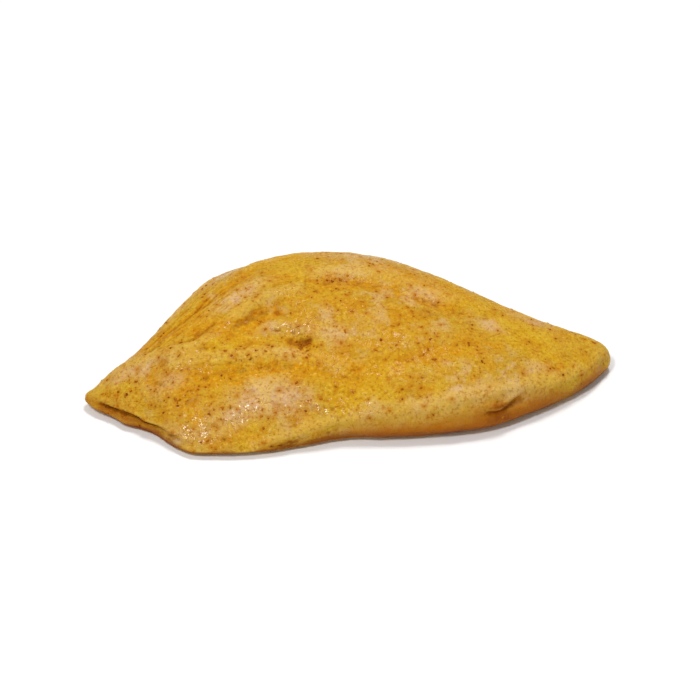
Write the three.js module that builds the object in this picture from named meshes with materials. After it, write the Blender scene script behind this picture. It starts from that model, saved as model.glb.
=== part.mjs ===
// One raw chicken breast fillet, boned and skinned, as it comes out of a marinade: a single piece of
// meat that lies flat on its cut side. X runs along the fillet from the pointed tip to the blunt end,
// Y from the front edge to the thick back edge, and Z is up. Sizes are in millimetres.

import * as THREE from "three";

const LENGTH = 144; // pointed tip to blunt end
const WIDTH = 74; // front edge to back edge, at the widest part
const THICKNESS = 25; // at the crown

// The outline seen from above, as shares of the length and the width, from the pointed tip along the
// front edge to the blunt end, and back along the thick edge.
const FRONT_EDGE = [
  [0, 0.31],
  [0.018, 0.25],
  [0.055, 0.205],
  [0.09, 0.145],
  [0.135, 0.1],
  [0.185, 0.015],
  [0.265, 0],
  [0.38, 0.018],
  [0.48, 0.07],
  [0.62, 0.082],
  [0.75, 0.121],
  [0.87, 0.246],
  [0.967, 0.405],
];
const BACK_EDGE = [
  [1, 0.53],
  [0.965, 0.6],
  [0.81, 0.735],
  [0.62, 0.935],
  [0.45, 1],
  [0.235, 0.9],
  [0.12, 0.6],
  [0.045, 0.4],
];

// What changes along the fillet, as [share of the way from tip to end, value].
const CROWN_HEIGHT = [
  [0, 0.2],
  [0.1, 0.42],
  [0.2, 0.66],
  [0.32, 0.88],
  [0.5, 0.97],
  [0.7, 0.78],
  [0.88, 0.48],
  [1, 0.3],
];
const CROWN_PLACE = [
  [0, 0.5],
  [0.2, 0.62],
  [0.45, 0.7],
  [0.75, 0.6],
  [1, 0.5],
];
const FRONT_BLUNTNESS = [
  [0, 1.7],
  [0.14, 1.1],
  [0.36, 1.15],
  [0.55, 1.8],
  [0.75, 2.2],
  [1, 2.2],
];
const BACK_BLUNTNESS = [
  [0, 2],
  [0.5, 2.2],
  [1, 2.1],
];
const NOSE_HEIGHT = [
  [0, 3],
  [0.25, 2.2],
  [0.6, 4],
  [0.85, 4.2],
  [1, 3.5],
];

const ROUNDED_WIDTH = 16; // a section narrower than this is also thinner, which rounds the two ends
const UNDERCUT_WIDTH = 5; // how far in under the edge the meat leaves the surface that it lies on

// The lobes and hollows of the upper side. Each is an oval: its middle from the tip and the front edge,
// its two half sizes, the turn of the first of them in degrees, and how far it stands up.
const FORMS = [
  { name: "ridge from the tip", at: [23, 27], size: [15, 5], turn: -7, rise: 1.1 },
  { name: "ridge to the front", at: [46, 20], size: [12, 5], turn: -38, rise: 1.1 },
  { name: "front lobe", at: [34, 10], size: [13, 6], turn: 0, rise: 0.9 },
  { name: "hollow flank", at: [26, 39], size: [14, 6], turn: 38, rise: -0.9 },
  { name: "upper ridge", at: [51, 43], size: [14, 5], turn: -33, rise: 0.9 },
  { name: "dip", at: [43, 31], size: [7, 5], turn: 0, rise: -1.2 },
  { name: "pit", at: [58.8, 25.5], size: [3.4, 2.6], turn: -20, rise: -1.7 },
  { name: "front valley", at: [61, 14], size: [5, 9], turn: -25, rise: -0.9 },
  { name: "shoulder over the front side", at: [104, 13], size: [22, 4.5], turn: 18, rise: 0.9 },
  { name: "hollow towards the blunt end", at: [106, 37], size: [16, 7], turn: -18, rise: -0.8 },
  { name: "back lobe", at: [84, 56], size: [22, 8], turn: -14, rise: 0.9 },
];

// The folds and cuts in the front side. Each is a groove: its middle and its half length as shares of
// the way from tip to end, its height above the resting surface, half its width, and its depth.
const GROOVES = [
  { name: "fold under the tip", at: 0.085, reach: 0.07, height: 4.1, spread: 0.9, depth: 1.7 },
  { name: "nick", at: 0.775, reach: 0.03, height: 7.4, spread: 1.6, depth: 1.2 },
];

const STATIONS = 88; // sections along the fillet
const EVEN_SPACING = 0.65; // how evenly they are spaced: at 0 they crowd towards both ends
const TOP_STEPS = 34; // facets over the top of a section
const UNDER_STEPS = 16; // facets under it
const OUTLINE_DIVISIONS = 600; // steps in which the outline is measured

// Goes from 0 to 1 with steps that are shorter at both ends.
function eased(share) {
  return (1 - Math.cos(Math.PI * share)) / 2;
}

// A smooth function through pairs of [where, value].
function along(pairs) {
  const places = pairs.map((pair) => pair[0]);
  const values = pairs.map((pair) => pair[1]);
  const interpolant = new THREE.CubicInterpolant(places, values, 1);
  return (at) => interpolant.evaluate(at)[0];
}

const crownHeight = along(CROWN_HEIGHT);
const crownPlace = along(CROWN_PLACE);
const frontBluntness = along(FRONT_BLUNTNESS);
const backBluntness = along(BACK_BLUNTNESS);
const noseHeight = along(NOSE_HEIGHT);

// The whole outline as one closed curve.
function outlineCurve() {
  const points = [...FRONT_EDGE, ...BACK_EDGE].map(([x, y]) => new THREE.Vector3(x * LENGTH, y * WIDTH, 0));
  const curve = new THREE.CatmullRomCurve3(points, true, "centripetal");
  curve.arcLengthDivisions = OUTLINE_DIVISIONS;
  return curve;
}

// The share of the outline's length at which the blunt end lies.
function bluntEndShare(outline) {
  const lengths = outline.getLengths();
  const end = FRONT_EDGE.length / (FRONT_EDGE.length + BACK_EDGE.length);
  return lengths[Math.round(OUTLINE_DIVISIONS * end)] / lengths[OUTLINE_DIVISIONS];
}

// How far the lobes and hollows lift the upper side at a place seen from above.
function relief(x, y) {
  let sum = 0;
  for (const { at, size, turn, rise } of FORMS) {
    const offset = new THREE.Vector2(x - at[0], y - at[1]);
    offset.rotateAround(new THREE.Vector2(), -THREE.MathUtils.degToRad(turn));
    sum += rise * Math.exp(-((offset.x / size[0]) ** 2) - (offset.y / size[1]) ** 2);
  }
  return sum;
}

// How far the grooves push the front side in, at a share of the way along and a height.
function grooved(u, height) {
  let sum = 0;
  for (const groove of GROOVES) {
    const lengthwise = Math.max(0, 1 - ((u - groove.at) / groove.reach) ** 2);
    sum += groove.depth * lengthwise * Math.exp(-(((height - groove.height) / groove.spread) ** 2));
  }
  return sum;
}

// The height of the upper side above the nose of the edge, from 0 to 1, at a share of the way across.
function dome(across, u) {
  const crown = crownPlace(u);
  const front = across < crown;
  const inward = front ? across / crown : (1 - across) / (1 - crown);
  const bluntness = front ? frontBluntness(u) : backBluntness(u);
  return Math.pow(1 - (1 - inward) ** 2, 1 / bluntness);
}

// The points round one section, starting at the front nose and going over the top.
function section(u, front, back) {
  const width = front.distanceTo(back);
  const narrow = Math.min(1, width / ROUNDED_WIDTH);
  const fullness = Math.sqrt(1 - (1 - narrow) ** 2);
  const nose = noseHeight(u);
  const rise = (crownHeight(u) * THICKNESS - nose) * fullness;
  const undercut = Math.min(UNDERCUT_WIDTH, width / 2);
  const inwards = back.clone().sub(front).normalize();
  const points = [];
  for (let i = 0; i < TOP_STEPS; i += 1) {
    const across = eased(i / TOP_STEPS);
    const point = front.clone().lerp(back, across);
    const lift = dome(across, u);
    point.z = nose + rise * lift + relief(point.x, point.y) * lift * fullness;
    if (across < crownPlace(u)) point.addScaledVector(inwards, grooved(u, point.z));
    points.push(point);
  }
  for (let i = 0; i < UNDER_STEPS; i += 1) {
    const across = 1 - eased(i / UNDER_STEPS);
    const point = front.clone().lerp(back, across);
    const inward = Math.min(1, (Math.min(across, 1 - across) * width) / undercut);
    point.z = nose - nose * fullness * Math.sqrt(1 - (1 - inward) ** 2);
    points.push(point);
  }
  return points;
}

// The sections from tip to end, closed by a point at each end, with their middle over the origin.
function filletGeometry() {
  const outline = outlineCurve();
  const endShare = bluntEndShare(outline);
  const round = TOP_STEPS + UNDER_STEPS;
  const positions = [];
  const tip = outline.getPointAt(0);
  positions.push(tip.x, tip.y, noseHeight(0));
  for (let station = 1; station < STATIONS; station += 1) {
    const share = station / STATIONS;
    const u = THREE.MathUtils.lerp(eased(share), share, EVEN_SPACING);
    const front = outline.getPointAt(u * endShare);
    const back = outline.getPointAt(1 - u * (1 - endShare));
    for (const point of section(u, front, back)) positions.push(point.x, point.y, point.z);
  }
  const end = outline.getPointAt(endShare);
  positions.push(end.x, end.y, noseHeight(1));

  const vertex = (station, step) => 1 + (station - 1) * round + (step % round);
  const last = positions.length / 3 - 1;
  const index = [];
  for (let step = 0; step < round; step += 1) {
    index.push(0, vertex(1, step), vertex(1, step + 1));
    for (let station = 1; station < STATIONS - 1; station += 1) {
      const a = vertex(station, step);
      const b = vertex(station, step + 1);
      const c = vertex(station + 1, step + 1);
      const d = vertex(station + 1, step);
      index.push(a, c, b, a, d, c);
    }
    index.push(last, vertex(STATIONS - 1, step + 1), vertex(STATIONS - 1, step));
  }

  const geometry = new THREE.BufferGeometry();
  geometry.setAttribute("position", new THREE.Float32BufferAttribute(positions, 3));
  geometry.setIndex(index);
  geometry.computeVertexNormals();
  geometry.computeBoundingBox();
  const { min, max } = geometry.boundingBox;
  geometry.translate(-(min.x + max.x) / 2, -(min.y + max.y) / 2, -min.z);
  return geometry;
}

const marinatedFlesh = new THREE.MeshStandardMaterial({ color: 0xd9a334, roughness: 0.4, metalness: 0 });

const fillet = new THREE.Mesh(filletGeometry(), marinatedFlesh);
fillet.name = "breast_fillet";

const object = new THREE.Group();
object.add(fillet);

export default object;
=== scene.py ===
"""A marinated raw chicken breast fillet, lying on a plain pale floor."""

import math
import random

import bpy
import numpy as np
from mathutils import Euler, Matrix, Vector, noise
from mathutils.bvhtree import BVHTree
from mathutils.kdtree import KDTree


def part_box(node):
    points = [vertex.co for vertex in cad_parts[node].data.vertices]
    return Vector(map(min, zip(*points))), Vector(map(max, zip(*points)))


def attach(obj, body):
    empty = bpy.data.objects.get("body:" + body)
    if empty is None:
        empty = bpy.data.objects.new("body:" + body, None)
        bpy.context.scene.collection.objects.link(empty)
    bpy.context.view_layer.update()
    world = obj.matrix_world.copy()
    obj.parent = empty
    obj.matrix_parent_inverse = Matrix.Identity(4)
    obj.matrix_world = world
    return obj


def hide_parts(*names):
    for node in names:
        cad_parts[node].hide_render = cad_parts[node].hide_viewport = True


MM = 0.001
OCTAVE_FADE, OCTAVE_STEP = 1.0, 2.0  # how much weaker and finer each next octave of noise is

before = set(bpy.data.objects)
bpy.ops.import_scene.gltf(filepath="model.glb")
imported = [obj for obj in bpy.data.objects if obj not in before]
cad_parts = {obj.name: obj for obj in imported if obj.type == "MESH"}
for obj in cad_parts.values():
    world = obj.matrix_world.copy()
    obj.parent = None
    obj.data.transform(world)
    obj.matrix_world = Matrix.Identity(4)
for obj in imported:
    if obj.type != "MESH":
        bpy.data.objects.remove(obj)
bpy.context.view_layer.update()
LOW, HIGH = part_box("breast_fillet")

# Sizes and places on the fillet are in millimetres: x from the tip, y from the front edge and z from
# the surface that it lies on. Ovals and lines are as seen from above. An oval is its middle, its two
# half sizes, and its turn in degrees.

FACE_SIZE = 0.48  # edge of the fillet's faces
GRAIN_START = (-14.0, 21.0)  # the grain of the meat fans out from here, just beyond the tip

TIP_HEIGHT = 3.3  # of the pointed tip
LIPS_HEIGHT = 4.1  # of the two lips behind the tip
SLOT_HEIGHT = 4.3  # of the slot between them
NICK_HEIGHT = 7.3  # of the nick in the front side
LEDGE_HEIGHT = 9  # of the small ledge over it

# How far each texture stands up.
BUNDLES_RISE = 0.22
STRANDS_RISE = 0.05
THREADS_RISE = 0.03
FLANK_STRANDS_RISE = 0.3
LUMPS_RISE = 0.28
DENTS_RISE = 0.16
PEEL_RISE = 0.09
WET_PEEL_RISE = 0.2  # more than that, where the film is wet
GRIT_RISE = 0.05
SKIN_SINKS = 0.38  # how far the skin as a whole lies below the solid's surface

# Folds that stand up or lie in: the line they follow, half their width, and how far they rise.
FOLDS = [
    # from the tip up along the steep back flank
    ([(5, 27), (12, 27.5), (22, 25), (30, 25.5), (37, 32), (44, 38.5), (50, 41.5), (58, 44.5)], 1.8, 0.85),
    # across the middle, under the wet lump
    ([(25, 22.5), (33, 22.5), (41, 22.5), (49, 23.3), (56, 23.2), (64, 21.5), (71, 19)], 2.0, 0.6),
    # the rim of the front side
    ([(60, 6), (72, 7.6), (82, 8.2), (92, 9.2), (100, 11), (109, 13.6), (117, 17.2), (126, 22), (134, 28)],
     1.8, 0.45),
    # the lip of the front lobe
    ([(46, 1.6), (51, 2.4), (55.3, 3.8), (61.7, 5.4), (68, 7.4)], 1.0, 0.35),
    # two short ones over it
    ([(45, 15.5), (49, 13), (50, 9)], 1.5, 0.4),
    ([(53, 16), (50, 13)], 1.5, 0.3),
    # along the back
    ([(62, 52), (74, 53), (88, 50), (100, 46)], 2.6, 0.4),
    # down the back side
    ([(42, 57), (56, 64), (72, 66), (88, 61), (102, 53)], 2.2, 0.45),
    ([(90, 65), (104, 57), (118, 49), (130, 44)], 2.0, 0.35),
    ([(20, 39), (26, 49), (34, 58)], 1.8, 0.35),
    ([(30, 53), (42, 62), (56, 69), (72, 71), (86, 67)], 2.0, -0.45),
    # valleys beside them
    ([(31, 30), (38, 33), (45, 35), (52, 36)], 2.6, -0.75),
    ([(29, 17.5), (38, 17.6), (47, 18.6), (56, 19.6)], 2.2, -0.6),
    ([(16, 33), (25, 37), (34, 44), (44, 52)], 2.4, -0.6),
    ([(74, 17), (84, 19), (96, 24), (110, 29)], 3.5, -0.5),
    ([(66, 47), (78, 47), (90, 43), (102, 41)], 2.6, -0.45),
    ([(18, 20), (25, 15), (31, 8)], 2.2, -0.35),
]

# The rim of the front side, where it parts from the upper side.
FRONT_RIM = [
    (44, 0.4), (51, 1.4), (55.3, 2.7), (61.7, 4.3), (68.2, 6.2), (72, 6.9), (82, 7.4), (92, 7.9), (97, 9),
    (109, 12.3), (116, 15.6), (124, 19), (132, 24), (137, 29), (142, 35),
]
# The height of the front side: places along the fillet, and the height at each.
SIDE_HEIGHT = ([60, 76, 105, 125], [7, 7.5, 9.5, 9.5])

# The steep back flank by the tip, where the muscle's strands stand out.
FLANK = ((28, 37), (17, 8), 44)

# The two wet lumps in the middle, and the brown fold that runs round the lower side of the first one,
# with half its width and the oval where it is deepest.
LUMP = ((58.2, 29.0), (2.7, 1.8), -8)
SMALL_LUMP = ((52.2, 31.2), (2.6, 1.7), -15)
LUMP_FOLD = [(56.0, 26.6), (58.2, 26.2), (60.4, 26.3), (61.6, 27.8)]
LUMP_FOLD_WIDTH = 0.7
LUMP_FOLD_DEEPEST = ((60.6, 26.4), (2.0, 1.6), 0)

# Where the marinade has run off and the pale flesh shows: an oval and a share.
THIN_PATCHES = [
    ((42, 43.3), (7.5, 2.6), 31, 0.75),
    ((50.5, 31.5), (3.4, 1.8), 10, 0.8),
    ((58.5, 30), (3, 1.5), -10, 0.6),
    ((55.5, 23), (4.2, 1.6), 0, 0.75),
    ((67.5, 28.5), (4, 3), 0, 0.65),
    ((49, 12.4), (7, 4.2), 10, 1.0),
    ((41, 8.3), (5.5, 2.8), 12, 0.85),
    ((57, 11.5), (4, 3.4), 20, 0.7),
    ((12, 24), (6.5, 2.2), -10, 0.65),
    ((23.5, 17.5), (4.5, 2.4), 0, 0.7),
    ((19.5, 24.0), (5.5, 1.5), -12, 0.6),
    ((117, 16.5), (5, 1.8), 20, 0.6),
    ((28, 4.5), (7, 2.2), -5, 0.5),
    ((93.3, 46), (4.6, 3.4), 0, 1.0),
    ((110, 37), (3.6, 2.2), -10, 0.9),
    ((68, 49.5), (6, 2.4), -5, 0.4),
    ((73, 61), (8, 3), -10, 0.6),
    ((91.6, 9.6), (3, 1.4), 10, 0.8),
    ((77.5, 8.8), (4, 1.4), 5, 0.6),
    ((122, 23.5), (4.2, 2), 25, 0.6),
    ((104, 12.6), (9, 1.8), 17, 0.75),
    ((121, 45), (6, 3), -20, 0.5),
    ((34, 57), (7, 3), 40, 0.5),
    ((60, 70), (10, 2.6), 3, 0.8),
    ((97, 60), (8, 2.4), -30, 0.75),
    ((25, 47), (5, 2), 60, 0.6),
]
# Where it lies thick and orange, in the same terms.
THICK_POOLS = [
    ((41.5, 31.5), (7, 3), 15, 0.9),
    ((44, 18.2), (12, 2.4), 7, 1.0),
    ((61, 18.5), (5, 4.5), -20, 0.8),
    ((30.5, 11.5), (5, 3.2), 0, 0.8),
    ((28, 34), (8, 3.2), 42, 0.7),
    ((58.4, 27.4), (3.0, 1.6), -8, 1.0),
    ((78, 34), (9, 4.5), -10, 0.55),
    ((73, 20), (8, 3.6), 0, 0.5),
    ((89, 30), (7, 4), 10, 0.45),
    ((63, 40), (8, 3), -10, 0.55),
    ((103, 26), (8, 3), 20, 0.4),
    ((83, 53), (8, 3), -15, 0.5),
    ((54, 62), (9, 4), -5, 0.4),
    ((112, 51), (8, 3), -30, 0.45),
    ((87, 54), (9, 3.5), -12, 0.8),
    ((98, 48), (8, 3), -20, 0.7),
]
# Brown smears of thick spice, in the same terms.
SMEARS = [
    ((60.9, 26.4), (1.2, 0.7), 30, 0.85),
    # by the nick: caked spice, with painted shadow under the ledge over it
    ((112.5, 11.3), (4.2, 1.4), 24, 1.3),
    ((69, 48.5), (3, 0.8), 5, 0.45),
    ((31, 12), (2, 1.2), 30, 0.4),
    ((95, 37), (1.6, 0.6), 25, 0.5),
]
# Where the wet film stands thick enough to glint, in the same terms.
WET_SPOTS = [
    ((27, 5), (6, 3), 0, 1.0),
    ((43, 8), (5, 2.4), 5, 0.8),
    ((52.0, 30.5), (3.4, 2.8), -20, 1.0),
    ((58.0, 30.2), (3.0, 1.8), -10, 1.0),
    ((77, 8.8), (4, 1.6), 0, 0.8),
    ((66, 9.2), (5, 2.4), -12, 1.0),
    ((57.5, 11.5), (3.5, 2), 0, 0.7),
    ((21.5, 15), (3, 3), 0, 0.5),
    ((118, 28), (6, 3), 20, 0.4),
    ((130, 31), (3, 2.4), 0, 0.6),
    ((76, 20), (7, 3), 0, 0.4),
    ((87, 28), (12, 5), 5, 0.25),
    ((40, 43), (6, 2.4), 31, 0.35),
    ((80, 64), (11, 3), -15, 0.6),
    ((40, 56), (7, 3), 40, 0.5),
]
DRY_SPOT = ((69, 24), (8, 5), 0)  # where it has dried to a matt skin

# The marinade's colours, 0 to 255 as they show on a screen.
DULL_GOLD = (190, 148, 40)
BRIGHT_GOLD = (206, 162, 26)
GOLD_BLOTCH = (200, 140, 6)
PALE_FLESH = (217, 182, 132)
PINK_FLESH = (212, 171, 134)
LIGHT_STRAND = (216, 172, 66)
DARK_STRAND = (184, 124, 0)
# darker orange in the flank's furrows: marinade lying in them, and painted shade
FLANK_FURROW_POOL_AND_SHADE = (178, 118, 0)
# lighter on ridges, rounded places and the front side: thinner marinade, and a painted highlight
CLEAN_RIDGE_HIGHLIGHT = (214, 174, 80)
# orange where the marinade pools, and painted shade in the hollows
ORANGE_POOL_AND_SHADE = (206, 140, 0)
DARK_SPECKLE = (172, 104, 0)
LIGHT_SPECKLE = (230, 186, 62)
SPICE_STAIN = (184, 114, 0)
OCHRE_FLECK = (178, 110, 0)
# painted shade on the steep lower sides, over thicker marinade
SHADED_SIDE = (171, 97, 0)
# painted shade: brown in the creases, a painted contact shadow by the foot, and shade in the tip's slot
CAKED_SPICE = (146, 74, 0)
PAINTED_SHADE_BROWN = (126, 56, 0)
SPICE_GRAIN = (126, 68, 4)
SPICE_POWDER = (160, 96, 0)

# The loose ground spice: name, number of crumbs, smallest and largest crumb, thickness as a share of
# its size, how deep it is sunk as a share of its thickness, darkest and lightest colour, roughness.
SPICES = [
    ("pepper_grit", 340, (0.25, 0.9), 0.7, 0.05, (116, 54, 6), (154, 82, 14), 0.6),
    ("paprika_flakes", 900, (0.25, 1.0), 0.35, 0.1, (160, 86, 2), (188, 112, 4), 0.55),
    ("herb_flecks", 200, (0.3, 0.95), 0.3, 0.1, (122, 88, 10), (152, 112, 24), 0.6),
]
# Where spice has gathered: the middle and how far it spreads. Elsewhere it lies at random.
CLUMPS = [
    ((59.5, 25.5), 1.5),
    ((112.5, 10.5), 1.2),
    ((8, 15), 2.5),
    ((68, 48.5), 3.0),
    ((31, 11), 4.0),
    ((44, 19), 6.0),
    ((90, 27), 9.0),
]
CLUMPED_SHARE = 0.12  # share of the spice that lies in the clumps
RAY_LENGTH = 0.3  # metres, how far out the search for a place starts
CRUMB_SHAPES = 6  # crumbs that are modelled, and then copied
CRUMB_RAGGEDNESS = 0.28  # share by which a crumb's corners are knocked in or out
CRUMB_TILT = 0.12  # radians, how far a crumb usually tilts out of the skin
SMALL_CRUMBS = 2.2  # the higher this is, the more of the crumbs are small
SPICE_SEED = 7

# The finish of the marinade, where it is dry and where the wet film stands on it.
DRY_ROUGHNESS, WET_ROUGHNESS = 0.62, 0.15
DRY_COAT, WET_COAT = 0.04, 0.45
GOLDEN_GLOSS = (1.0, 0.84, 0.5, 1.0)  # tint of the reflections in the marinade itself

FLOOR_SHADE = 0.92
ROOM_BRIGHTNESS = 0.36

# The colour sockets of the mix node, which share their names with its other sockets.
MIX_FIRST, MIX_SECOND, MIX_RESULT = 6, 7, 2


def deselect_all():
    """Nothing is selected, so that an operator acts on what is picked next."""
    if bpy.context.object and bpy.context.object.mode != "OBJECT":
        bpy.ops.object.mode_set(mode="OBJECT")
    bpy.ops.object.select_all(action="DESELECT")


def pick(piece):
    """Makes the piece the only selected and active one."""
    deselect_all()
    piece.select_set(True)
    bpy.context.view_layer.objects.active = piece


def apply_modifier(piece, kind, **settings):
    """Adds a modifier with these settings and applies it."""
    pick(piece)
    modifier = piece.modifiers.new(kind.title(), kind)
    for name, value in settings.items():
        setattr(modifier, name, value)
    bpy.ops.object.modifier_apply(modifier=modifier.name)


def smooth_step(low, high, value):
    """Goes smoothly from 0 at low to 1 at high."""
    t = np.clip((value - low) / (high - low), 0, 1)
    return t * t * (3 - 2 * t)


def bell(offset, half_width):
    """1 where the offset is 0, fading out to both sides."""
    return np.exp(-((offset / half_width) ** 2))


def oval(x, y, middle, size, turn):
    """1 at the middle of an oval seen from above, fading out across it."""
    angle = math.radians(turn)
    dx, dy = x - middle[0], y - middle[1]
    u = (dx * math.cos(angle) + dy * math.sin(angle)) / size[0]
    v = (dy * math.cos(angle) - dx * math.sin(angle)) / size[1]
    return np.exp(-(u * u + v * v))


def ovals(x, y, shapes):
    """The sum of the listed ovals."""
    return sum(share * oval(x, y, at, size, turn) for at, size, turn, share in shapes)


def rounded(points):
    """The line with its corners cut off twice."""
    for _ in range(2):
        line = [points[0]]
        for (ax, ay), (bx, by) in zip(points, points[1:]):
            line.append((0.75 * ax + 0.25 * bx, 0.75 * ay + 0.25 * by))
            line.append((0.25 * ax + 0.75 * bx, 0.25 * ay + 0.75 * by))
        line.append(points[-1])
        points = line
    return points


def along_line(x, y, points, half_width):
    """1 on the line as seen from above, fading out to both sides and past its ends."""
    nearest = np.full(len(x), np.inf)
    points = rounded(points)
    for (ax, ay), (bx, by) in zip(points, points[1:]):
        length2 = (bx - ax) ** 2 + (by - ay) ** 2
        t = np.clip(((x - ax) * (bx - ax) + (y - ay) * (by - ay)) / length2, 0, 1)
        nearest = np.minimum(nearest, np.hypot(x - ax - t * (bx - ax), y - ay - t * (by - ay)))
    return bell(nearest, half_width)


def noise_at(points, octaves=1):
    """Smooth noise, about -1 to 1, at each of the points, with finer noise on it if there are octaves."""
    if octaves == 1:
        return np.array([noise.noise(Vector(p)) for p in points])
    return np.array([noise.fractal(Vector(p), OCTAVE_FADE, OCTAVE_STEP, octaves) for p in points])


class Skin:
    """The fillet's vertices in millimetres, with what the relief and the colours need to know of them."""

    def __init__(self, mesh):
        self.mesh = mesh
        count = len(mesh.vertices)
        co = np.empty(count * 3, np.float32)
        mesh.vertices.foreach_get("co", co)
        self.co = (co.reshape(-1, 3).astype(float) - np.array(LOW)) / MM
        ends = np.empty(len(mesh.edges) * 2, np.int32)
        mesh.edges.foreach_get("vertices", ends)
        ends = ends.reshape(-1, 2)
        self.start = np.concatenate([ends[:, 0], ends[:, 1]])
        self.end = np.concatenate([ends[:, 1], ends[:, 0]])
        self.degree = np.bincount(self.start, minlength=count).astype(float)
        self.read_normals()

    def read_normals(self):
        """Takes the vertices' normals from the mesh."""
        normal = np.empty(len(self.mesh.vertices) * 3, np.float32)
        self.mesh.vertex_normals.foreach_get("vector", normal)
        self.normal = normal.reshape(-1, 3).astype(float)

    def write(self):
        """Puts the vertices back into the mesh, kept inside the solid's box."""
        co = np.clip(self.co * MM + np.array(LOW), np.array(LOW), np.array(HIGH))
        self.mesh.vertices.foreach_set("co", co.astype(np.float32).ravel())
        self.mesh.update()
        self.read_normals()

    def spread(self, values, rounds):
        """Values averaged with their neighbours this many times."""
        columns = np.array(values, float).reshape(len(self.co), -1)
        for _ in range(rounds):
            total = np.stack([
                np.bincount(self.start, weights=column[self.end], minlength=len(column))
                for column in columns.T
            ], axis=1)
            columns = 0.5 * columns + 0.5 * total / self.degree[:, None]
        return columns.reshape(np.shape(values))

    def hollowness(self, rounds):
        """How far each vertex lies below its surroundings: more rounds look further."""
        return ((self.spread(self.co, rounds) - self.co) * self.normal).sum(axis=1)

    def move(self, distance):
        """Moves the vertices along their normals."""
        self.co += self.normal * distance[:, None]

    def keep(self, name, values):
        """Stores a value from 0 to 1 for each vertex, for the materials."""
        layer = self.mesh.attributes.new(name, "FLOAT", "POINT")
        layer.data.foreach_set("value", np.clip(values, 0, 1).astype(np.float32))


def fillet_blank():
    """The form of the solid in even small faces, without its facets."""
    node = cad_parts["breast_fillet"]
    mesh = node.data.copy()
    mesh.materials.clear()
    piece = bpy.data.objects.new("marinated_fillet", mesh)
    bpy.context.scene.collection.objects.link(piece)
    pick(piece)
    bpy.ops.object.mode_set(mode="EDIT")
    bpy.ops.mesh.select_all(action="SELECT")
    bpy.ops.mesh.remove_doubles(threshold=0.01 * MM)
    bpy.ops.mesh.tris_convert_to_quads()
    bpy.ops.object.mode_set(mode="OBJECT")
    apply_modifier(piece, "SUBSURF", levels=1, render_levels=1)
    apply_modifier(piece, "REMESH", mode="VOXEL", voxel_size=FACE_SIZE * MM)
    apply_modifier(piece, "SMOOTH", factor=0.5, iterations=6)
    return piece


def grain_place(skin):
    """How far each vertex is from where the grain starts, and in which direction."""
    x, y = skin.co[:, 0] - GRAIN_START[0], skin.co[:, 1] - GRAIN_START[1]
    return np.hypot(x, y), np.arctan2(y, x)


def grain_noise(skin, length, fineness, layer, upward=0.0, octaves=2):
    """Noise drawn out along the grain to this length, and this fine across it: another for each layer."""
    far, direction = grain_place(skin)
    third = skin.co[:, 2] * upward + layer
    return noise_at(np.stack([far / length, direction * fineness, third], axis=1), octaves)


def flank_strands(skin):
    """Fine strands that run up the back flank, -1 to 1, and 0 elsewhere."""
    x, y, _ = skin.co.T
    middle, _, turn = FLANK
    angle = math.radians(turn)
    along = (x - middle[0]) * math.cos(angle) + (y - middle[1]) * math.sin(angle)
    across = (y - middle[1]) * math.cos(angle) - (x - middle[0]) * math.sin(angle)
    layer = np.full(len(x), 130.0)
    strands = noise_at(np.stack([along / 8, across / 0.75 + along / 40, layer], axis=1), 2)
    return strands * np.clip(1.4 * oval(x, y, *FLANK), 0, 1)


def front_side(skin):
    """1 on the steep front side below its rim, 0 elsewhere."""
    x, y, _ = skin.co.T
    rim_x, rim_y = zip(*FRONT_RIM)
    softness = np.interp(x, [62, 76], [0.4, 0.9])
    below = smooth_step(1, -1, (y - np.interp(x, rim_x, rim_y)) / softness)
    return below * smooth_step(45, 52, x) * smooth_step(-0.15, 0.15, -skin.normal[:, 1])


def tip_lip(skin):
    """1 on the lower lip under the fold at the tip, 0 elsewhere."""
    x, _, z = skin.co.T
    return smooth_step(27, 18, x) * smooth_step(5.4, 3.8, z) * smooth_step(0.0, 0.4, -skin.normal[:, 1])


def tip_slot(skin, begins, ends):
    """1 on the front of the tip, where the slot between its two lips runs, 0 elsewhere."""
    x = skin.co[:, 0]
    return smooth_step(*begins, x) * smooth_step(*ends, x) * smooth_step(0.2, -0.2, skin.normal[:, 1])


def muscle_texture(skin, dents, peel):
    """The muscle's bundles, strands and threads, and the skin's lumps and fine texture."""
    x, y, _ = skin.co.T
    bundles = grain_noise(skin, 38, 7.5, 0, upward=0.02)
    strands = grain_noise(skin, 12, 30, 9, upward=0.05)
    threads = grain_noise(skin, 6, 70, 31, upward=0.05, octaves=1)
    lumps = noise_at(skin.co / 12 + 5)
    grit = noise_at(skin.co + 41)
    wet = np.clip(ovals(x, y, WET_SPOTS), 0, 1)
    depth = LUMPS_RISE * lumps + BUNDLES_RISE * bundles + DENTS_RISE * dents - SKIN_SINKS
    depth += STRANDS_RISE * strands + THREADS_RISE * threads + FLANK_STRANDS_RISE * flank_strands(skin)
    depth += (PEEL_RISE + WET_PEEL_RISE * wet) * peel + GRIT_RISE * grit
    return depth


def tip_slot_relief(skin, dents):
    """The rise of the lips at the tip, and the depth of the slot between them."""
    z = skin.co[:, 2]
    slot = tip_slot(skin, (3, 7), (25, 20))
    lips = 0.8 * slot * bell(z - LIPS_HEIGHT, 1.0)
    cut = 0.9 * slot * bell(z - SLOT_HEIGHT + 0.5 * dents, 0.4)
    return lips, cut


def nick_relief(skin, dents):
    """The nick in the front side, with the small ledge over it."""
    x, y, z = skin.co.T
    reach = smooth_step(106, 110, x) * smooth_step(120, 114, x) * smooth_step(20, 17, y)
    ledge = 0.5 * bell(z - LEDGE_HEIGHT + dents, 0.8)
    nick = 0.8 * bell(z - NICK_HEIGHT + dents, 0.7)
    return reach * (ledge - nick)


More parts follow.
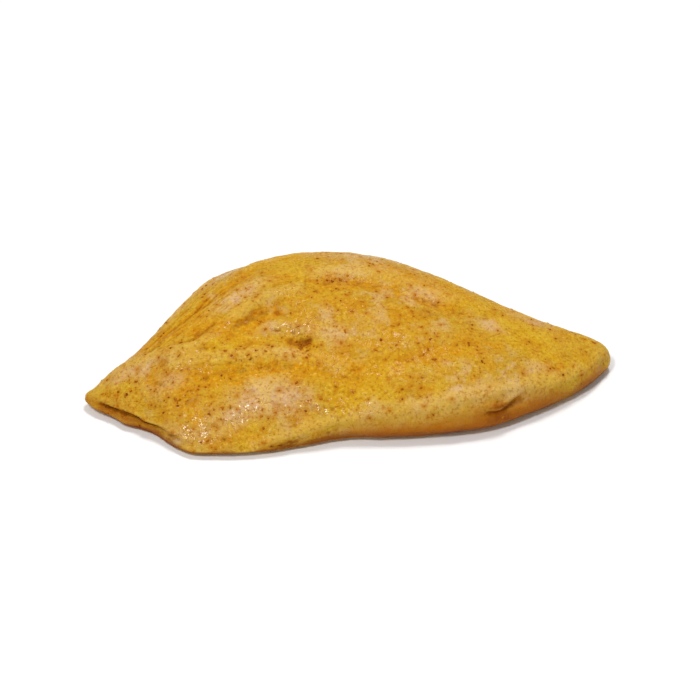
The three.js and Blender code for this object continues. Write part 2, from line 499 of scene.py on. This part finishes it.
def lump_relief(skin, top, dents, peel):
    """The depth of the broken fold by the wet lump, and the rise of both lumps."""
    x, y, _ = skin.co.T
    bent_x = x + 1.2 * peel + 1.2 * dents
    bent_y = y + 0.9 * peel + 1.4 * dents
    broken = 0.15 + 0.55 * oval(x, y, *LUMP_FOLD_DEEPEST)
    fold = top * broken * along_line(bent_x, bent_y, LUMP_FOLD, LUMP_FOLD_WIDTH)
    lumps = top * (0.75 * oval(bent_x, bent_y, *LUMP) + 0.5 * oval(bent_x, bent_y, *SMALL_LUMP))
    return fold, lumps


def side_relief(skin, top, side):
    """Low uneven bands along the front side and the lower edge."""
    rough_side = (1 - top) * smooth_step(0.6, 2, skin.co[:, 2]) + side
    return rough_side * 0.18 * noise_at(skin.co * np.array([1 / 9, 1 / 9, 1 / 2.2]) + 3)


def model_relief(skin):
    """Presses the muscle's grain, the folds, the lumps and the skin's texture into the smooth form."""
    x, y, _ = skin.co.T
    top = smooth_step(-0.2, 0.3, skin.normal[:, 2])
    side = front_side(skin)
    dents = noise_at(skin.co / 5 + 25)
    peel = noise_at(skin.co / 1.5 + 17)

    depth = muscle_texture(skin, dents, peel)
    depth *= 0.5 + 0.5 * top
    depth += top * sum(rise * along_line(x, y, line, width) for line, width, rise in FOLDS)
    set_back = 0.45 + 0.4 * smooth_step(78, 66, x)
    depth -= set_back * side
    lips, cut = tip_slot_relief(skin, dents)
    depth += lips
    depth -= cut
    depth += nick_relief(skin, dents)
    depth += side_relief(skin, top, side)
    fold, lumps = lump_relief(skin, top, dents, peel)
    depth -= fold
    depth += lumps
    skin.move(depth)


def shape_tip(skin):
    """Thins the pointed tip, and tucks its lower lip in under the upper one."""
    x, _, z = skin.co.T
    thinning = 0.4 * smooth_step(10, 0, x)
    skin.co[:, 2] += thinning * (TIP_HEIGHT - z)
    tucked = smooth_step(10, 16, x) * smooth_step(31, 23, x) * smooth_step(4.8, 3.4, z)
    skin.co[:, 1] += 1.7 * tucked * smooth_step(0.05, 0.75, -skin.normal[:, 1])


def sharpen_creases(skin):
    """Deepens the narrow folds and leaves the rest."""
    hollow = skin.spread(skin.hollowness(30), 2)
    skin.move(-0.8 * np.clip(hollow - 0.06, 0, 0.3))


def carve_underside(skin):
    """The cut side: a shallow seam where the inner fillet was, and grain, all above the floor."""
    x, y, z = skin.co.T
    under = smooth_step(-0.55, -0.9, skin.normal[:, 2]) * (z < 1.2)
    share_along = np.clip((x - 8) / 125, 0, 1)
    seam_y = 20 + 22 * np.sin(share_along * math.pi * 0.75)
    seam = bell(y - seam_y, 3.2) * smooth_step(6, 20, x) * (1 - smooth_step(105, 128, x))
    strands = grain_noise(skin, 16, 24, 70)
    lumps = noise_at(skin.co * np.array([1 / 16, 1 / 10, 0]) + 50)
    lift = 0.15 + 0.18 * strands + 0.4 * lumps + seam
    skin.co[:, 2] += under * np.clip(lift, 0, None)
    skin.co[:, 2] -= skin.co[:, 2].min()


def ragged_places(skin):
    """The vertices' places from above, shifted unevenly so that ovals and lines get ragged edges."""
    x, y, _ = skin.co.T
    return x + noise_at(skin.co / 4 + 60, 3) * 1.6, y + noise_at(skin.co / 4 + 80, 3) * 1.6


def keep_marinade_masks(skin):
    """Stores where the marinade is thin; clean on the ridges, with a painted highlight; lying in pools,
    with painted shade in the hollows; smeared with spice; and wet.
    """
    x, y, _ = skin.co.T
    up = skin.normal[:, 2]
    top = smooth_step(-0.1, 0.4, up)
    at_x, at_y = ragged_places(skin)
    dip = skin.hollowness(90)

    streaks = grain_noise(skin, 20, 11, 110, octaves=3)
    bare_under = smooth_step(-0.5, -0.8, up) * smooth_step(-0.3, 0.6, streaks)
    skin.keep("thin", ovals(at_x, at_y, THIN_PATCHES) * top + 0.75 * bare_under)

    # Lighter on the ridges, the rounded places and the front side: thinner marinade there, and a painted
    # highlight.
    ridges = sum(along_line(at_x, at_y, line, width * 0.7) for line, width, rise in FOLDS if rise > 0)
    ridges = ridges + 2.0 * np.clip(-dip - 0.03, 0, 1)
    skin.keep("clean_ridge_highlight", top * ridges + 0.5 * front_side(skin))

    valleys = sum(along_line(at_x, at_y, line, width) for line, width, rise in FOLDS if rise < 0)
    pools = ovals(at_x, at_y, THICK_POOLS) + 0.5 * valleys
    # The hollows are painted orange by their depth: painted shade.
    skin.keep("thick_and_shaded", top * pools + 2.5 * np.clip(dip, 0, 1))

    near_x, near_y = (at_x + x) / 2, (at_y + y) / 2
    smears = ovals(near_x, near_y, SMEARS)
    smears = smears + 0.35 * along_line(near_x, near_y, LUMP_FOLD, LUMP_FOLD_WIDTH)
    skin.keep("smear", smooth_step(-0.5, 0.1, up) * smears)

    film = ovals(at_x, at_y, WET_SPOTS) + 0.4 * noise_at(skin.co / 7 + 90)
    skin.keep("wet", top * (film - 0.7 * oval(x, y, *DRY_SPOT)))


def keep_painted_shade_mask(skin, uneven):
    """Stores the painted shade: brown in the creases, a painted contact shadow by the foot, and painted
    shade in the slot at the tip.
    """
    x, y, z = skin.co.T
    # painted shade in the creases
    creases = np.clip(3.5 * (skin.hollowness(30) - 0.06), 0, 0.6)
    shaded = 2.8 + 2.5 * smooth_step(52, 68, x) * smooth_step(40, 25, y)
    # painted contact shadow along the foot
    foot = 1 - smooth_step(1.5, shaded + 1.2 * uneven, z)
    foot = foot * smooth_step(-0.97, -0.7, skin.normal[:, 2])
    # painted shade in the slot under the tip's upper lip
    slot = 0.45 * tip_slot(skin, (2, 6), (25, 19)) * bell(z - 3.5 + 0.4 * uneven, 0.8)
    skin.keep("painted_shade", creases + 0.9 * foot + slot)


def keep_side_mask(skin, uneven):
    """Stores where the steep lower sides turn orange brown: thicker marinade, and painted shade, also
    along the lowest edge and on the lower lip under the tip's fold.
    """
    x, _, z = skin.co.T
    up = skin.normal[:, 2]
    height = z / np.interp(x, *SIDE_HEIGHT) + 0.15 * uneven
    front = front_side(skin) * (0.15 + 0.85 * (1 - smooth_step(0.45, 1.1, height)))
    low_edge = 1 - smooth_step(0.8, 3.5 + 1.5 * uneven, z)
    low_edge = low_edge * smooth_step(0.4, 0.1, up) * smooth_step(-0.85, -0.5, up)
    skin.keep("side", np.maximum(np.maximum(front, low_edge), 0.55 * tip_lip(skin)))


def keep_stain_mask(skin, specks):
    """Stores the stains that the crumbs of spice leave in the marinade round them."""
    tree = KDTree(len(specks))
    for i, (place, size) in enumerate(specks):
        tree.insert(place, i)
    tree.balance()
    ragged = 1 + 0.7 * noise_at(skin.co / 0.9 + 160)
    stain = np.zeros(len(skin.co))
    for i, point in enumerate(skin.co * MM + np.array(LOW)):
        _, nearest, distance = tree.find(point)
        size = specks[nearest][1]
        reach = 0.3 + 0.8 * size
        strength = min(1.0, size / 0.55)
        stain[i] = math.exp(-((distance / MM * ragged[i] / reach) ** 2)) * strength
    skin.keep("stain", stain)


def keep_masks(skin, specks):
    """Stores on the fillet what its material needs to know of each place."""
    uneven = noise_at(skin.co / 5 + 140, 2)
    keep_marinade_masks(skin)
    keep_painted_shade_mask(skin, uneven)
    top = smooth_step(-0.1, 0.4, skin.normal[:, 2])
    # Darker orange in the furrows between the flank's strands: marinade lying in them, and painted shade.
    skin.keep("flank", top * smooth_step(0.05, -0.25, flank_strands(skin)))
    keep_side_mask(skin, uneven)
    keep_stain_mask(skin, specks)


def grain_map(skin):
    """A UV map whose first direction runs along the grain, in centimetres."""
    far, direction = grain_place(skin)
    uv = np.stack([far / 10, direction * 6], axis=1)
    loops = np.empty(len(skin.mesh.loops), np.int32)
    skin.mesh.loops.foreach_get("vertex_index", loops)
    layer = skin.mesh.uv_layers.new(name="grain")
    layer.data.foreach_set("uv", uv[loops].astype(np.float32).ravel())


def crumb_shape(rng):
    """One small hard crumb, one unit across: a ball knocked out of round."""
    deselect_all()
    bpy.ops.mesh.primitive_ico_sphere_add(subdivisions=1, radius=0.5)
    crumb = bpy.context.object
    for vertex in crumb.data.vertices:
        vertex.co *= 1 + rng.uniform(-CRUMB_RAGGEDNESS, CRUMB_RAGGEDNESS)
    points = np.array([v.co for v in crumb.data.vertices])
    faces = [tuple(p.vertices) for p in crumb.data.polygons]
    bpy.data.objects.remove(crumb)
    return points, faces


def rim_nearness(place):
    """1 on the clean rim over the front side, 0 away from it."""
    rim_x, rim_y = zip(*FRONT_RIM)
    off = place.y - np.interp(place.x, rim_x, rim_y) - 1.0
    return math.exp(-((off / 2.6) ** 2)) if 58 < place.x < 134 else 0.0


def spice_density(hit):
    """How likely spice is to stick at a place: it lies in drifts, and hardly on the clean rim."""
    density = 0.55 + 0.8 * noise.noise(hit / (9 * MM)) + 0.35 * noise.noise(hit / (3 * MM))
    return density * (1 - 0.8 * rim_nearness((hit - LOW) / MM))


def ray_onto_clump(rng):
    """A line straight down onto one of the clumps: where it starts, and its direction."""
    (cx, cy), reach = rng.choice(CLUMPS)
    x, y = rng.gauss(cx, reach), rng.gauss(cy, reach)
    above = HIGH.z + 0.02
    return Vector((x * MM + LOW.x, y * MM + LOW.y, above)), Vector((0, 0, -1))


def ray_from_anywhere(rng):
    """A line through the fillet from a random side: where it starts, and its direction."""
    azimuth = rng.uniform(0, 2 * math.pi)
    rise = rng.uniform(-0.9, 1)
    flat = math.sqrt(1 - rise * rise)
    middle = Vector((rng.uniform(LOW.x, HIGH.x), rng.uniform(LOW.y, HIGH.y), 0.4 * HIGH.z))
    towards = Vector((-flat * math.cos(azimuth), -flat * math.sin(azimuth), -rise))
    outside = middle - towards * RAY_LENGTH
    return outside, towards


def speck_places(skin, count, sizes, rng):
    """Random places on the fillet's skin for one kind of spice: place, normal, size."""
    mesh = skin.mesh
    tree = BVHTree.FromPolygons([v.co for v in mesh.vertices], [tuple(p.vertices) for p in mesh.polygons])
    smallest, largest = sizes
    places = []
    while len(places) < count:
        clumped = rng.random() < CLUMPED_SHARE
        start, towards = ray_onto_clump(rng) if clumped else ray_from_anywhere(rng)
        hit, normal, _, _ = tree.ray_cast(start, towards)
        if hit is None:
            continue
        if rng.random() > spice_density(hit):
            continue
        size = smallest + (largest - smallest) * rng.random() ** SMALL_CRUMBS
        room = 0.9 * size * MM
        if all(LOW[i] + room < hit[i] < HIGH[i] - room for i in range(3)):
            places.append((hit, normal, size))
    return places


def crumb_turn(normal, size, flatness, rng):
    """The matrix that stretches a crumb to its size, tilts it a little and lays it on the skin."""
    length = size * rng.uniform(0.8, 2.0)
    width = size * rng.uniform(0.5, 1.0)
    thickness = size * flatness * rng.uniform(0.7, 1.2)
    stretch = Matrix.Diagonal((length, width, thickness))
    tilt = Euler((rng.gauss(0, CRUMB_TILT), rng.gauss(0, CRUMB_TILT), rng.uniform(0, 2 * math.pi)))
    return normal.to_track_quat("Z", "Y").to_matrix() @ tilt.to_matrix() @ stretch * MM


def scatter(name, places, crumbs, flatness, sink, material, rng):
    """Joins one crumb at each place into one piece, each turned at random and partly sunk."""
    verts, faces = [], []
    for hit, normal, size in places:
        points, shape = rng.choice(crumbs)
        turn = crumb_turn(normal, size, flatness, rng)
        start = len(verts)
        centre = hit - normal * size * flatness * sink * MM
        verts.extend(turn @ Vector(p) + centre for p in points)
        faces.extend(tuple(start + i for i in face) for face in shape)
    mesh = bpy.data.meshes.new(name)
    mesh.from_pydata(verts, [], faces)
    mesh.update()
    piece = bpy.data.objects.new(name, mesh)
    bpy.context.scene.collection.objects.link(piece)
    pick(piece)
    bpy.ops.object.shade_smooth()
    mesh.materials.append(material)
    return piece


class Nodes:
    """Builds one material's node tree."""

    def __init__(self, name):
        self.material = bpy.data.materials.new(name)
        self.material.use_nodes = True
        self.tree = self.material.node_tree
        self.shader = self.tree.nodes["Principled BSDF"]

    def add(self, kind, settings=None, **inputs):
        """A node of this kind. Inputs are values or other nodes' sockets, by the input's name."""
        node = self.tree.nodes.new(kind)
        for name, value in (settings or {}).items():
            setattr(node, name, value)
        for name, value in inputs.items():
            self.put(node.inputs[name.replace("_", " ")], value)
        return node

    def put(self, socket, value):
        """Links another node's socket to this one, or sets its value."""
        if isinstance(value, bpy.types.NodeSocket):
            self.tree.links.new(value, socket)
        else:
            socket.default_value = value

    def attribute(self, name):
        """A value that is stored on the mesh."""
        return self.add("ShaderNodeAttribute", {"attribute_name": name}).outputs["Fac"]

    def place(self):
        """The place on the object, in metres."""
        return self.add("ShaderNodeTexCoord").outputs["Object"]

    def noise(self, size, detail=2.0, roughness=0.5, seed=0.0):
        """Noise whose lumps are about this many millimetres across, from 0 to 1."""
        offset = self.add("ShaderNodeVectorMath", {"operation": "ADD"})
        self.put(offset.inputs[0], self.place())
        offset.inputs[1].default_value = (seed, seed * 0.7, seed * 1.3)
        return self.add("ShaderNodeTexNoise", Vector=offset.outputs[0], Scale=1 / (size * MM) / 1.6,
                        Detail=detail, Roughness=roughness).outputs["Fac"]

    def ramp(self, value, low, high, to_low=0.0, to_high=1.0):
        """The value's stretch from low to high, mapped smoothly to another stretch."""
        node = self.add("ShaderNodeMapRange", {"interpolation_type": "SMOOTHSTEP"}, Value=value)
        node.inputs["From Min"].default_value = low
        node.inputs["From Max"].default_value = high
        node.inputs["To Min"].default_value = to_low
        node.inputs["To Max"].default_value = to_high
        return node.outputs["Result"]

    def math(self, operation, first, second, clamp=False):
        """What an operation makes of two values."""
        node = self.add("ShaderNodeMath", {"operation": operation, "use_clamp": clamp})
        self.put(node.inputs[0], first)
        self.put(node.inputs[1], second)
        return node.outputs[0]

    def times(self, first, second, clamp=False):
        """The product of two values."""
        return self.math("MULTIPLY", first, second, clamp)

    def plus(self, first, second, clamp=False):
        """The sum of two values."""
        return self.math("ADD", first, second, clamp)

    def mix(self, share, first, second):
        """One colour laid over another, where the share says."""
        node = self.add("ShaderNodeMix", {"data_type": "RGBA"})
        self.put(node.inputs["Factor"], share)
        self.put(node.inputs[MIX_FIRST], first)
        self.put(node.inputs[MIX_SECOND], second)
        return node.outputs[MIX_RESULT]


def linear(value):
    """One channel of a display colour, 0 to 255, as the shader's linear one."""
    value /= 255
    return value / 12.92 if value <= 0.04045 else ((value + 0.055) / 1.055) ** 2.4


def colour(shown):
    """A display colour as the shader's linear one."""
    return (*(linear(value) for value in shown), 1.0)


def dust(n, cell, share, size):
    """Fine ground spice in the marinade: dots in this share of the cells, from 0 to 1."""
    cells = n.add("ShaderNodeTexVoronoi", {"feature": "F1"}, Vector=n.place(), Scale=1 / (cell * MM),
                  Randomness=1.0)
    near = n.ramp(cells.outputs["Distance"], size, 0.4 * size)
    pick_one = n.add("ShaderNodeSeparateColor", Color=cells.outputs["Color"]).outputs[0]
    return n.times(near, n.ramp(pick_one, 1 - share, 1 - share + 0.03))


class Marinade(Nodes):
    """Wet yellow marinade over pale flesh."""

    def __init__(self):
        super().__init__("spiced_marinade")
        grain_uv = self.add("ShaderNodeUVMap", {"uv_map": "grain"}).outputs[0]
        stretched = self.add("ShaderNodeMapping", Vector=grain_uv)
        stretched.inputs["Scale"].default_value = (1.0, 6.0, 1.0)
        self.strands = self.add("ShaderNodeTexNoise", Vector=stretched.outputs[0], Scale=1.8, Detail=5.0,
                                Roughness=0.6).outputs["Fac"]
        self.clouds = self.noise(14, 3, 0.55, seed=0.11)
        self.blotches = self.noise(4.5, 4, 0.6, seed=0.37)
        self.grain = self.noise(1.1, 3, 0.65, seed=0.53)
        self.specks = self.noise(0.5, 2, 0.6, seed=0.91)
        skin = self.coat_over_flesh()
        skin = self.strands_and_pools(skin)
        skin = self.speckles(skin)
        skin = self.brown_places(skin)
        skin = self.ground_spice(skin)
        self.put(self.shader.inputs["Base Color"], skin)
        self.wet_film()

    def over(self, skin, share, shown):
        """The skin with a display colour laid over it."""
        return self.mix(share, skin, colour(shown))

    def coat_over_flesh(self):
        """The golden coat, and the pale flesh where it is thin or has come loose."""
        golden = self.mix(self.ramp(self.clouds, 0.38, 0.62), colour(DULL_GOLD), colour(BRIGHT_GOLD))
        golden = self.over(golden, self.ramp(self.blotches, 0.45, 0.62, 0.0, 0.8), GOLD_BLOTCH)
        pale = self.mix(self.ramp(self.grain, 0.35, 0.7), colour(PALE_FLESH), colour(PINK_FLESH))
        loose = self.times(self.ramp(self.blotches, 0.50, 0.40), self.ramp(self.clouds, 0.50, 0.40))
        thin = self.times(self.attribute("thin"), self.ramp(self.grain, 0.25, 0.6, 0.5, 1.0))
        bare = self.plus(thin, self.times(loose, 0.5), clamp=True)
        return self.mix(bare, golden, pale)

    def strands_and_pools(self, skin):
        """The muscle's strands, the flank's furrows with painted shade, the clean ridges with a painted
        highlight, and the orange pools between them, with painted shade in the hollows.
        """
        skin = self.over(skin, self.ramp(self.strands, 0.48, 0.7, 0.0, 0.3), LIGHT_STRAND)
        skin = self.over(skin, self.ramp(self.strands, 0.48, 0.3, 0.0, 0.4), DARK_STRAND)
        skin = self.over(skin, self.times(self.attribute("flank"), 0.5), FLANK_FURROW_POOL_AND_SHADE)
        skin = self.over(skin, self.times(self.attribute("clean_ridge_highlight"), 0.55), CLEAN_RIDGE_HIGHLIGHT)
        mottled = self.ramp(self.grain, 0.38, 0.62, 0.3, 1.0)
        return self.over(skin, self.times(self.attribute("thick_and_shaded"), mottled), ORANGE_POOL_AND_SHADE)

    def speckles(self, skin):
        """The fine dark and light speckle, the stains round the crumbs, and ochre flecks."""
        skin = self.over(skin, self.ramp(self.specks, 0.54, 0.66, 0.0, 0.6), DARK_SPECKLE)
        skin = self.over(skin, self.ramp(self.specks, 0.44, 0.32, 0.0, 0.5), LIGHT_SPECKLE)
        skin = self.over(skin, self.times(self.attribute("stain"), 0.8), SPICE_STAIN)
        flecks = self.noise(3.2, 5, 0.7, seed=1.7)
        return self.over(skin, self.ramp(flecks, 0.57, 0.68, 0.0, 0.55), OCHRE_FLECK)

    def brown_places(self, skin):
        """The lower sides with their painted shade, the smears of caked spice, and the creases with their
        painted shade.
        """
        skin = self.over(skin, self.times(self.attribute("side"), 0.95), SHADED_SIDE)
        caked = self.ramp(self.grain, 0.38, 0.62, 0.6, 1.0)
        skin = self.over(skin, self.times(self.attribute("smear"), caked, clamp=True), CAKED_SPICE)
        # painted shade in the creases, by the foot and in the tip's slot
        return self.over(skin, self.times(self.attribute("painted_shade"), 0.9, clamp=True), PAINTED_SHADE_BROWN)

    def ground_spice(self, skin):
        """The finest spice, too small to be modelled as crumbs. There is less on the clean ridges."""
        dusty = self.ramp(self.attribute("clean_ridge_highlight"), 0.1, 0.6, 1.0, 0.2)
        grains = self.times(dust(self, 1.1, 0.22, 0.2), 0.85)
        skin = self.over(skin, self.times(grains, dusty), SPICE_GRAIN)
        powder = self.times(dust(self, 0.62, 0.3, 0.3), 0.5)
        return self.over(skin, self.times(powder, dusty), SPICE_POWDER)

    def wet_film(self):
        """The gloss: soft on the meat, and sharp where the wet film stands on it."""
        damp = self.plus(self.attribute("wet"), self.ramp(self.blotches, 0.4, 0.7, 0.0, 0.3), clamp=True)
        sockets = self.shader.inputs
        self.put(sockets["Roughness"], self.ramp(damp, 0.0, 1.0, DRY_ROUGHNESS, WET_ROUGHNESS))
        sockets["Specular IOR Level"].default_value = 0.13
        sockets["Specular Tint"].default_value = GOLDEN_GLOSS
        sockets["Subsurface Weight"].default_value = 0.1
        sockets["Subsurface Radius"].default_value = (1.0, 0.45, 0.12)
        sockets["Subsurface Scale"].default_value = 2.0 * MM
        self.put(sockets["Coat Weight"], self.ramp(damp, 0.1, 1.0, DRY_COAT, WET_COAT))
        sockets["Coat Roughness"].default_value = 0.1
        sockets["Coat IOR"].default_value = 1.4
        self.put(sockets["Normal"], self.meat_bump(damp))
        self.put(sockets["Coat Normal"], self.film_bump())

    def meat_bump(self, damp):
        """The finest grain of the meat, which stands out more where it is wet."""
        fine = self.times(self.noise(0.6, 3, 0.6, seed=0.71), self.ramp(damp, 0.0, 1.0, 0.7, 1.6))
        height = self.plus(fine, self.times(self.grain, 0.8))
        height = self.plus(height, self.times(self.strands, 0.8))
        return self.add("ShaderNodeBump", Strength=0.9, Distance=0.5 * MM, Height=height).outputs[0]

    def film_bump(self):
        """The wet film's own small waves, which break its reflections into glints."""
        waves = self.plus(self.noise(1.5, 2, 0.5, seed=2.3), self.times(self.noise(0.7, 1, seed=2.9), 0.3))
        return self.add("ShaderNodeBump", Strength=0.8, Distance=0.4 * MM, Height=waves).outputs[0]


def spice_material(name, dark, light, roughness):
    """Damp ground spice, each crumb a little lighter or darker."""
    n = Nodes(name)
    lightness = n.ramp(n.noise(2.5, 1, seed=0.2), 0.35, 0.65)
    n.put(n.shader.inputs["Base Color"], n.mix(lightness, colour(dark), colour(light)))
    n.put(n.shader.inputs["Roughness"], n.ramp(n.noise(0.3, 2), 0.3, 0.7, roughness, roughness + 0.25))
    n.shader.inputs["Specular IOR Level"].default_value = 0.12
    return n.material


def floor_material():
    """The floor's even pale finish."""
    n = Nodes("pale_floor")
    n.shader.inputs["Base Color"].default_value = (FLOOR_SHADE, FLOOR_SHADE, FLOOR_SHADE, 1.0)
    n.shader.inputs["Roughness"].default_value = 0.8
    return n.material


def make_floor():
    """A plain pale floor under the fillet."""
    deselect_all()
    bpy.ops.mesh.primitive_plane_add(size=6.0, location=(0, 0, LOW.z))
    floor = bpy.context.object
    floor.name = "floor"
    floor.data.materials.append(floor_material())


def soft_light(name, place, size, power):
    """A square soft box that faces the fillet."""
    light = bpy.data.lights.new(name, "AREA")
    light.shape = "SQUARE"
    light.size = size
    light.energy = power
    lamp = bpy.data.objects.new(name, light)
    bpy.context.scene.collection.objects.link(lamp)
    lamp.location = place
    towards_fillet = Vector((0, 0, 0)) - Vector(place)
    lamp.rotation_euler = towards_fillet.to_track_quat("-Z", "Y").to_euler()


def make_light():
    """Soft light from above and a little behind, with an even white surround."""
    world = bpy.data.worlds.new("white_room")
    bpy.context.scene.world = world
    world.use_nodes = True
    background = world.node_tree.nodes["Background"]
    background.inputs["Color"].default_value = (1, 1, 1, 1)
    background.inputs["Strength"].default_value = ROOM_BRIGHTNESS
    soft_light("top_box", place=(0.1, 0.3, 1.05), size=0.26, power=5.9)
    soft_light("front_box", place=(-0.3, -0.5, 0.9), size=0.16, power=5.0)
    bpy.context.scene.view_settings.view_transform = "Standard"


def make_camera():
    """Looks at the fillet from 38 degrees above the horizon, from where the photograph was taken."""
    elevation = math.radians(38)
    distance = 0.756
    looked_at = Vector((-0.001, 0.0085, 0))
    back = Vector((0, -math.cos(elevation), math.sin(elevation)))
    data = bpy.data.cameras.new("camera")
    data.lens = 140
    data.sensor_width = 36
    camera = bpy.data.objects.new("camera", data)
    bpy.context.scene.collection.objects.link(camera)
    camera.location = looked_at + back * distance
    aim = Vector((0, 0, 0.008))
    camera.rotation_euler = (aim - camera.location).to_track_quat("-Z", "Y").to_euler()
    bpy.context.scene.camera = camera


def shape_fillet(piece):
    """Gives the blank all its relief, and returns its skin."""
    skin = Skin(piece.data)
    model_relief(skin)
    shape_tip(skin)
    skin.write()
    sharpen_creases(skin)
    skin.write()
    carve_underside(skin)
    skin.write()
    return skin


def make_spice(skin):
    """The crumbs of ground spice: one piece of each kind, and every crumb's place and size."""
    rng = random.Random(SPICE_SEED)
    crumbs = [crumb_shape(rng) for _ in range(CRUMB_SHAPES)]
    specks = []
    for name, count, sizes, flatness, sink, dark, light, roughness in SPICES:
        places = speck_places(skin, count, sizes, rng)
        specks.extend((place, size) for place, _, size in places)
        material = spice_material(name, dark, light, roughness)
        spice = scatter(name, places, crumbs, flatness, sink, material, rng)
        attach(spice, "root")
    return specks


def make_fillet():
    """The meat, and the ground spice that sticks to it."""
    piece = fillet_blank()
    skin = shape_fillet(piece)
    specks = make_spice(skin)
    keep_masks(skin, specks)
    grain_map(skin)
    pick(piece)
    bpy.ops.object.shade_smooth()
    piece.data.materials.append(Marinade().material)
    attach(piece, "root")
    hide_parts("breast_fillet")


make_camera()
make_light()
make_floor()
make_fillet()
